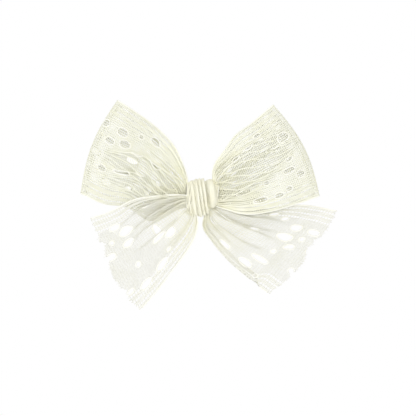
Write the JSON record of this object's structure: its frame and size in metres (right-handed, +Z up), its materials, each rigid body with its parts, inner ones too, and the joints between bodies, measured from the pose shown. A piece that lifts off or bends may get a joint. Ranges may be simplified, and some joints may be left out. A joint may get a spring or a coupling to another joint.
{
  "type": "hair bow",
  "caption": "Ivory lace ribbon bow with loops and cut tails round a wrapped knot, glued on a sprung alligator clip lined with ribbon.",
  "frame": {"origin": "where the clip's two jaws grip the hair, on the closing plane of the jaws behind the middle of the knot", "axes": "+X across the bow to the viewer's right and along the clip to its tip, +Y towards the wearer's head, +Z up the bow as it is worn"},
  "size_m": [0.0998, 0.0269, 0.0831],
  "materials": {
    "lace": "matte",
    "thread": "satin",
    "glue": "satin",
    "clip_steel": "satin",
    "spring_steel": "gloss",
    "lining_ribbon": "matte"
  },
  "bodies": {
    "bow": {"left_loop": "lace", "right_loop": "lace", "gathered_waist": "lace", "binding_thread": "thread", "knot_band": "lace", "glue_pad": "glue", "upper_jaw": "clip_steel", "upper_jaw_ribbon": "lining_ribbon", "hinge_pin": "clip_steel", "torsion_spring": "spring_steel"},
    "jaw": {"lower_jaw": "clip_steel"},
    "tail_left": {"left_tail": "lace"},
    "tail_right": {"right_tail": "lace"}
  },
  "joints": [
    {"name": "clip_open", "type": "hinge", "parent": "bow", "child": "jaw", "pos_m": [-0.011, 0.0026, 0], "axis": [0, 0, 1], "range_deg": [0, 35], "stiffness_Nm_per_rad": 0.02, "springref_deg": -28.65, "deforming": ["torsion_spring"]},
    {"name": "left_tail_lift", "type": "hinge", "parent": "bow", "child": "tail_left", "pos_m": [-0.0048, -0.0112, -0.002], "axis": [-0.6, 0, 0.8], "range_deg": [0, 18], "stiffness_Nm_per_rad": 0.0005},
    {"name": "right_tail_lift", "type": "hinge", "parent": "bow", "child": "tail_right", "pos_m": [0.0048, -0.0065, -0.002], "axis": [0.4758, 0, 0.8796], "range_deg": [0, 8], "stiffness_Nm_per_rad": 0.0005}
  ]
}
